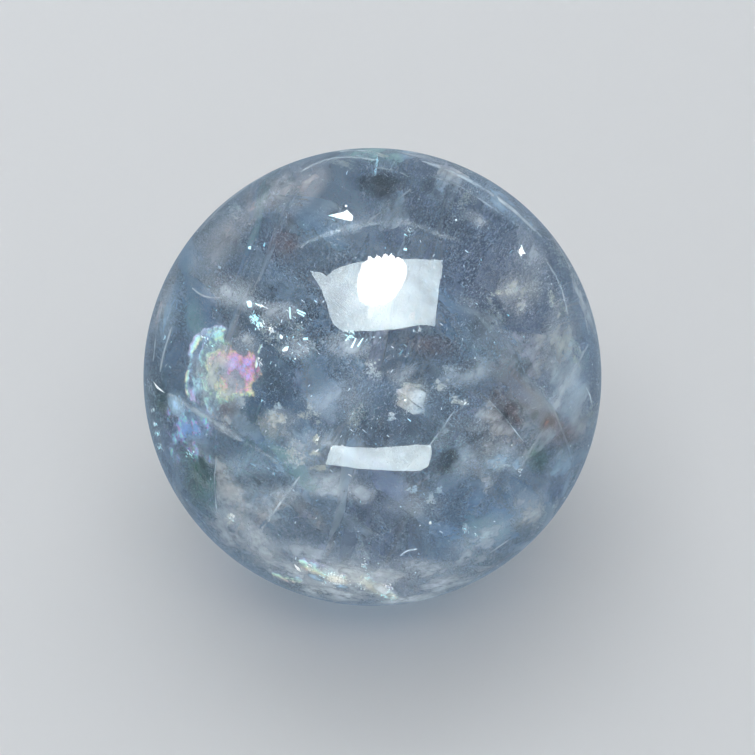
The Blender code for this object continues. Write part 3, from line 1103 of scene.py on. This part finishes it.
BRIGHT_CLUSTERS_PX = [
    # Middle in pixels, spread in pixels, how many, depth in mm.
    ((254, 318), 3.6, 70, 4.5), ((260, 324), 4.2, 60, 4.5), ((271, 328), 4.0, 30, 4.5),
    ((262, 306), 4.0, 12, 4.5),
    ((409, 231), 3.6, 16, 5.0), ((521, 252), 3.6, 18, 4.0), ((157, 434), 2.6, 50, 1.6),
    ((155, 424), 1.8, 34, 1.4), ((160, 447), 2.2, 34, 1.5), ((189, 455), 4.5, 26, 2.6),
    ((325, 573), 7.0, 70, 2.5), ((342, 580), 6.0, 70, 2.3), ((385, 592), 7.0, 70, 2.2),
    ((311, 567), 5.0, 36, 2.6), ((364, 583), 8.0, 60, 2.4), ((364, 566), 4.0, 20, 3.0),
    ((379, 572), 3.0, 16, 3.0), ((153, 410), 2.0, 20, 1.4),
    ((432, 599), 3.0, 12, 1.4), ((499, 567), 2.0, 8, 1.4), ((232, 518), 3.6, 20, 3.0),
    ((400, 349), 6.0, 8, 9.0), ((300, 352), 12.0, 12, 8.0), ((290, 330), 14.0, 14, 8.0),
    ((375, 338), 7.0, 10, 5.0), ((466, 402), 2.0, 5, 6.0), ((165, 338), 2.2, 6, 2.2),
    ((205, 340), 7.0, 10, 5.0), ((258, 362), 3.5, 14, 4.6), ((350, 430), 24.0, 16, 14.0),
    ((476, 535), 6.0, 8, 5.0), ((465, 528), 3.0, 6, 5.0), ((520, 470), 3.0, 10, 3.5),
    ((334, 579), 6.5, 90, 1.9), ((364, 578), 4.5, 70, 1.9), ((386, 592), 6.0, 110, 1.7),
    ((393, 598), 3.0, 50, 1.5), ((351, 334), 6.5, 34, 4.2), ((419, 330), 5.0, 12, 4.2),
]
SLIVER_LONG = (0.00012, 0.00060)
SLIVER_WIDE = (0.00006, 0.00018)
CLUSTER_TIGHTNESS = 0.6
CLUSTER_DEPTHS = (0.8, 1.2)
STRAY_SLIVERS = 420
STRAY_SLIVER_REACH = (0.3, 0.97)
SLIVER_SEED = 23
# These colours feed both the flakes' own colour and their painted glint.
FLAKE_AND_GLINT_LUMP = 0.004
FLAKE_AND_GLINT_COLOURS = [(0.40, (0.62, 0.95, 1.0)), (0.50, (0.95, 1.0, 1.0)), (0.60, (1.0, 0.98, 0.94))]


def add_sliver(points, faces, middle, chance):
    """Adds a small four-sided crack along two of the crystal's edges; its finish glows with a painted glint.
    """
    one, other = chance.sample(CRYSTAL_EDGES, 2)
    half_long = one * chance.uniform(*SLIVER_LONG) / 2
    half_wide = other * chance.uniform(*SLIVER_WIDE) / 2
    first = len(points)
    points += [held_inside(corner) for corner in four_corners(middle, half_long, half_wide)]
    faces.append((first, first + 1, first + 2, first + 3))


# The flakes' emission is a painted glint: they glow though they are no lamp.
painted_glint = {"Roughness": 0.3, "IOR": 1.3, "Emission Strength": 0.75}
painted_glint_finish, sockets, place = new_finish("flake_with_painted_glint", painted_glint)
flake_and_glint_colour = place.clouds(FLAKE_AND_GLINT_LUMP, detail=1.0).coloured(FLAKE_AND_GLINT_COLOURS)
flake_and_glint_colour.into(sockets["Base Color"])
flake_and_glint_colour.into(sockets["Emission Color"])

chance = random.Random(SLIVER_SEED)
points, faces = [], []
for outline, depth in BRIGHT_OUTLINES_PX:
    first = len(points)
    points += [behind(pixel, depth / 1000) for pixel in outline]
    faces.append(tuple(range(first, len(points))))
for pixel, spread, count, depth in BRIGHT_CLUSTERS_PX:
    for _ in range(count):
        spot = [middle + chance.gauss(0, spread * CLUSTER_TIGHTNESS) for middle in pixel]
        add_sliver(points, faces, behind(spot, depth / 1000 * chance.uniform(*CLUSTER_DEPTHS)), chance)
for _ in range(STRAY_SLIVERS):
    out = scattered(chance, 1).normalized() * chance.uniform(*STRAY_SLIVER_REACH)
    add_sliver(points, faces, held_inside(BALL_CENTRE + out * BALL_RADIUS), chance)
new_piece("flakes_with_painted_glints", points, faces, painted_glint_finish)

# The cream clouds. In places the tiny cracks lie so close that they make a soft cream or white puff.
# Each is a few puffs of tiny flakes that face every way.
CLOUDS_PX = [
    # Middle in pixels, spread in pixels each way, how many flakes, depth in mm.
    ((272, 413), (3.5, 3), 150, 6), ((282, 420), (4, 3.6), 170, 6), ((277, 407), (2.5, 2), 60, 6),
    ((411, 400), (7, 6), 220, 9), ((392, 416), (4.5, 2.5), 90, 8), ((410, 386), (8, 2.2), 70, 9),
    ((442, 383), (5.5, 5), 120, 8), ((451, 368), (7, 3), 70, 9), ((456, 402), (7, 3.5), 90, 8),
    ((510, 289), (6, 3.5), 140, 6), ((498, 293), (3.5, 2), 60, 6), ((432, 499), (3.5, 4), 80, 7),
    ((415, 490), (5, 3.5), 60, 7), ((440, 492), (4.5, 3.5), 50, 7), ((465, 529), (3, 3), 60, 5),
    ((484, 538), (4.5, 1.6), 60, 5), ((480, 542), (2, 2.4), 40, 5), ((320, 468), (7, 3), 110, 6),
    ((300, 462), (5, 4), 60, 6), ((228, 520), (4, 5), 110, 4), ((380, 591), (6, 3.5), 120, 2.6),
    ((339, 578), (9, 3), 120, 2.8), ((394, 597), (3.5, 2.5), 60, 2.2), ((310, 415), (10, 8), 120, 10),
    ((290, 452), (12, 7), 110, 8), ((500, 466), (7, 4), 120, 6), ((552, 300), (8, 14), 110, 5),
    ((322, 571), (9, 3), 150, 2.6), ((352, 580), (10, 4), 190, 2.6), ((372, 587), (8, 4.5), 170, 2.4),
    ((391, 598), (6, 3), 110, 2.2), ((316, 440), (2.5, 3.5), 50, 4), ((314, 453), (4.5, 2.5), 50, 4),
]
CLOUD_FLAKES_TO_EACH = 4
CLOUD_FLAKE_REACH = 0.00008
CLOUD_FLAKE_SPREAD = 0.35
CLOUD_THICKNESS = 0.0008
CLOUD_PUFFS = 7
PUFF_SPREAD = 0.55
PUFF_SIZE = (0.12, 0.45)
STRAY_CLOUDS = 34
STRAY_CLOUD_REACH = (0.4, 0.92)
STRAY_CLOUD_SPREAD = (0.0005, 0.0022)
STRAY_CLOUD_FLAKES = (60, 180)
CLOUD_SEED = 31
CREAM_LUMP = 0.008
CREAMS = [(0.38, (0.80, 0.92, 1.0)), (0.50, (0.98, 0.98, 0.96)), (0.60, (1.0, 0.96, 0.84))]
cloud_finish, sockets, place = new_finish("cream_cloud", {"Roughness": 0.55, "IOR": 1.3, "Alpha": 0.62})
place.clouds(CREAM_LUMP, detail=2.0).coloured(CREAMS).into(sockets["Base Color"])


def add_cloud(points, faces, middle, spreads, count, chance):
    """Adds a few uneven puffs of flakes round a middle. spreads gives the cloud's three half widths."""
    puffs = []
    for _ in range(CLOUD_PUFFS):
        puff = middle + sum((spread * chance.gauss(0, PUFF_SPREAD) for spread in spreads), Vector())
        puffs.append((puff, chance.uniform(*PUFF_SIZE)))
    for _ in range(count * CLOUD_FLAKES_TO_EACH):
        puff, size = chance.choice(puffs)
        spot = held_inside(puff + sum((spread * size * chance.gauss(0, 1) for spread in spreads), Vector()))
        one = scattered(chance, 1).normalized()
        other = one.cross(scattered(chance, 1)).normalized()
        reach = CLOUD_FLAKE_REACH * math.exp(chance.gauss(0, CLOUD_FLAKE_SPREAD))
        first = len(points)
        corners = (spot - one * reach, spot - other * reach, spot + one * reach, spot + other * reach)
        points += [held_inside(corner) for corner in corners]
        faces.append((first, first + 1, first + 2, first + 3))


chance = random.Random(CLOUD_SEED)
points, faces = [], []
for pixel, (wide, high), count, depth in CLOUDS_PX:
    middle = behind(pixel, depth / 1000)
    side_way = behind((pixel[0] + wide, pixel[1]), depth / 1000) - middle
    up_way = behind((pixel[0], pixel[1] + high), depth / 1000) - middle
    add_cloud(points, faces, middle, (side_way, up_way, TO_VIEWER * CLOUD_THICKNESS), count, chance)
for _ in range(STRAY_CLOUDS):
    out = scattered(chance, 1).normalized() * chance.uniform(*STRAY_CLOUD_REACH)
    spreads = [edge * chance.uniform(*STRAY_CLOUD_SPREAD) for edge in CRYSTAL_EDGES]
    count = chance.randrange(*STRAY_CLOUD_FLAKES)
    add_cloud(points, faces, BALL_CENTRE + out * BALL_RADIUS, spreads, count, chance)
new_piece("cream_clouds", points, faces, cloud_finish)

# The floor. A plain, pale, matt surface that the stone stands on. The polish doesn't mirror it, because
# the photo shows the ball in dark surroundings.
FLOOR_SIDE = 6.0
pale_and_matt = {"Base Color": (0.72, 0.73, 0.74, 1.0), "Roughness": 0.8, "IOR": 1.3}


def stage_sheet(name, corners, material):
    """A flat sheet of the studio, which isn't part of the stone."""
    data = bpy.data.meshes.new(name)
    data.from_pydata([tuple(corner) for corner in corners], [], [tuple(range(len(corners)))])
    data.materials.append(material)
    sheet = bpy.data.objects.new(name, data)
    bpy.context.scene.collection.objects.link(sheet)
    return sheet


half_across = Vector((FLOOR_SIDE / 2, 0.0, 0.0))
half_along = Vector((0.0, FLOOR_SIDE / 2, 0.0))
floor_corners = four_corners(Vector(), half_across, half_along)
floor = stage_sheet("floor", floor_corners, new_finish("pale_floor", pale_and_matt)[0])
floor.visible_glossy = False

# The soft panels that the polish mirrors: a bright cloth overhead with a lamp just below it, and a long
# low cloth in front. Each is cut so that its mirror image has the outline that the photo shows.
OVERHEAD_HEIGHT = 0.55
FRONT_DISTANCE = 0.60
OVERHEAD_GLOW = 10.8
LAMP_GLOW = 30.0
FRONT_GLOW = 11.8
PANEL_TINT = (0.88, 0.99, 1.0)
LAMP_TINT = (1.0, 0.95, 0.97)
PANEL_FOLD = 0.12
PANEL_FOLD_RANGE = (0.38, 0.62)
PANEL_FOLD_SHADE = 0.72
HALO_PX = ((386, 308), (436, 300))
HALO_GLOW = 0.60
LAMP_GAP = 0.01
UPWARD = Vector((0.0, 0.0, 1.0))
OVERHEAD_OUTLINE_PX = [
    (310, 271), (320, 272), (327, 276), (335, 269), (353, 263), (375, 260), (406, 259), (430, 260),
    (443, 260), (442, 272), (439, 289), (437, 307), (435, 326), (419, 325), (400, 329), (385, 330),
    (370, 331), (343, 332), (334, 325), (330, 317), (326, 302), (320, 287),
]
LAMP_OUTLINE_PX = [
    (358, 280), (357, 287), (360, 301), (367, 304), (375, 305), (386, 303), (395, 296), (402, 287),
    (406, 277), (406, 265), (402, 260), (398, 257), (396, 259), (391, 253), (389, 257), (385, 253),
    (382, 258), (377, 255), (374, 259), (369, 256), (367, 261), (362, 264),
]
FRONT_OUTLINE_PX = [
    (332, 445.5), (345, 446.5), (370, 447.5), (392, 447), (415, 444.5), (431, 444.5), (432, 453),
    (428.5, 466.5), (421, 471), (400, 471), (375, 470), (345, 466.5), (325, 464),
]
overhead = BALL_CENTRE + UPWARD * OVERHEAD_HEIGHT


def mirrored(pixel, plane_point, plane_normal):
    """The point of a plane that the polished surface mirrors to the viewer at a pixel of the photo."""
    sight, start, normal = sight_at(pixel)
    way = sight - 2 * sight.dot(normal) * normal
    return start + way * ((plane_point - start).dot(plane_normal) / way.dot(plane_normal))


def soft_panel(name, outline, plane_point, plane_normal, glow, tint):
    """Adds a glowing cloth whose mirror image has this outline in the photo. It glows most at the lamp."""
    plain = {"Base Color": (0.0, 0.0, 0.0, 1.0), "Emission Strength": glow}
    material, sockets, place = new_finish(name, plain)
    folds = place.clouds(PANEL_FOLD, detail=3.0, roughness=0.6)
    colour = folds.coloured(list(zip(PANEL_FOLD_RANGE, ([PANEL_FOLD_SHADE * part for part in tint], tint))))
    halo, halo_rim = (mirrored(pixel, overhead, UPWARD) for pixel in HALO_PX)
    from_lamp = place.node("ShaderNodeVectorMath", {"operation": "DISTANCE"}, {0: place, 1: halo}, "Value")
    shine = 1 + HALO_GLOW - HALO_GLOW * from_lamp.rise(0.0, (halo_rim - halo).length)
    glowing = colour.node("ShaderNodeVectorMath", {"operation": "SCALE"}, {0: colour, "Scale": shine})
    glowing.into(sockets["Emission Color"])
    corners = [mirrored(pixel, plane_point, plane_normal) for pixel in outline]
    sheet = stage_sheet(name, corners, material)
    sheet.visible_camera = False
    sheet.visible_diffuse = False


soft_panel("overhead_panel", OVERHEAD_OUTLINE_PX, overhead, UPWARD, OVERHEAD_GLOW, PANEL_TINT)
soft_panel("overhead_lamp", LAMP_OUTLINE_PX, overhead - UPWARD * LAMP_GAP, UPWARD, LAMP_GLOW, LAMP_TINT)
in_front = BALL_CENTRE - Vector((0.0, FRONT_DISTANCE, 0.0))
soft_panel("front_panel", FRONT_OUTLINE_PX, in_front, Vector((0.0, 1.0, 0.0)), FRONT_GLOW, PANEL_TINT)

# The two wide soft lights that reach into the stone, from above and from in front. The polish doesn't
# mirror them.
INNER_LIGHT_HALF_SIDE = 0.8
INNER_LIGHT_DISTANCE = 1.3
INNER_LIGHT_TINT = (0.93, 0.94, 0.905, 1.0)
INNER_LIGHT_GLOWS = {"inner_light_above": 5.3, "inner_light_in_front": 4.6}
INNER_LIGHT_WAYS = {
    "inner_light_above": Vector((0.0, 0.0, 1.0)), "inner_light_in_front": Vector((0.0, -0.94, 0.34)),
}
for name, glow in INNER_LIGHT_GLOWS.items():
    only_glowing = {"Base Color": (0.0, 0.0, 0.0, 1.0), "Emission Color": INNER_LIGHT_TINT}
    inner_finish = new_finish(name, {**only_glowing, "Emission Strength": glow})[0]
    across, along = (way * INNER_LIGHT_HALF_SIDE for way in plane_axes(INNER_LIGHT_WAYS[name]))
    middle = INNER_LIGHT_WAYS[name] * INNER_LIGHT_DISTANCE
    inner_light = stage_sheet(name, four_corners(middle, across, along), inner_finish)
    inner_light.visible_camera = False
    inner_light.visible_diffuse = False
    inner_light.visible_glossy = False
    inner_light.visible_shadow = False

# The room: one wide soft light above the floor, and pale light from all round. The polish mirrors that
# pale light dimmer and bluer than it lights the floor, as it would in a darker room.
ROOM_LIGHT_SIDE = 1.2
ROOM_LIGHT_PLACE = (0.0, -0.1, 1.1)
ROOM_LIGHT_POWER = 14.0
ROOM_GLOW = 0.45
ROOM_TINT = (0.90, 0.95, 1.0)
MIRRORED_TINT = (0.53, 0.69, 0.86)
light = bpy.data.lights.new("room_light", "AREA")
light.shape = "SQUARE"
light.size = ROOM_LIGHT_SIDE
light.energy = ROOM_LIGHT_POWER
room_light = bpy.data.objects.new("room_light", light)
room_light.location = ROOM_LIGHT_PLACE
room_light.visible_glossy = False
room_light.visible_transmission = False
bpy.context.scene.collection.objects.link(room_light)
lit_by_room = bpy.data.collections.new("lit_by_room")
lit_by_room.objects.link(floor)
room_light.light_linking.receiver_collection = lit_by_room
world = bpy.data.worlds.new("pale_room")
world.use_nodes = True
background = world.node_tree.nodes["Background"]
background.inputs["Strength"].default_value = ROOM_GLOW
mirrors = Wire(world.node_tree.nodes.new("ShaderNodeLightPath").outputs["Is Glossy Ray"])
mirrors.coloured([(0.0, ROOM_TINT), (1.0, MIRRORED_TINT)]).into(background.inputs["Color"])
world.cycles.sampling_method = "NONE"
bpy.context.scene.world = world
bpy.context.scene.view_settings.view_transform = "Standard"
bpy.context.scene.cycles.transparent_max_bounces = 64
bpy.context.scene.cycles.diffuse_bounces = 2
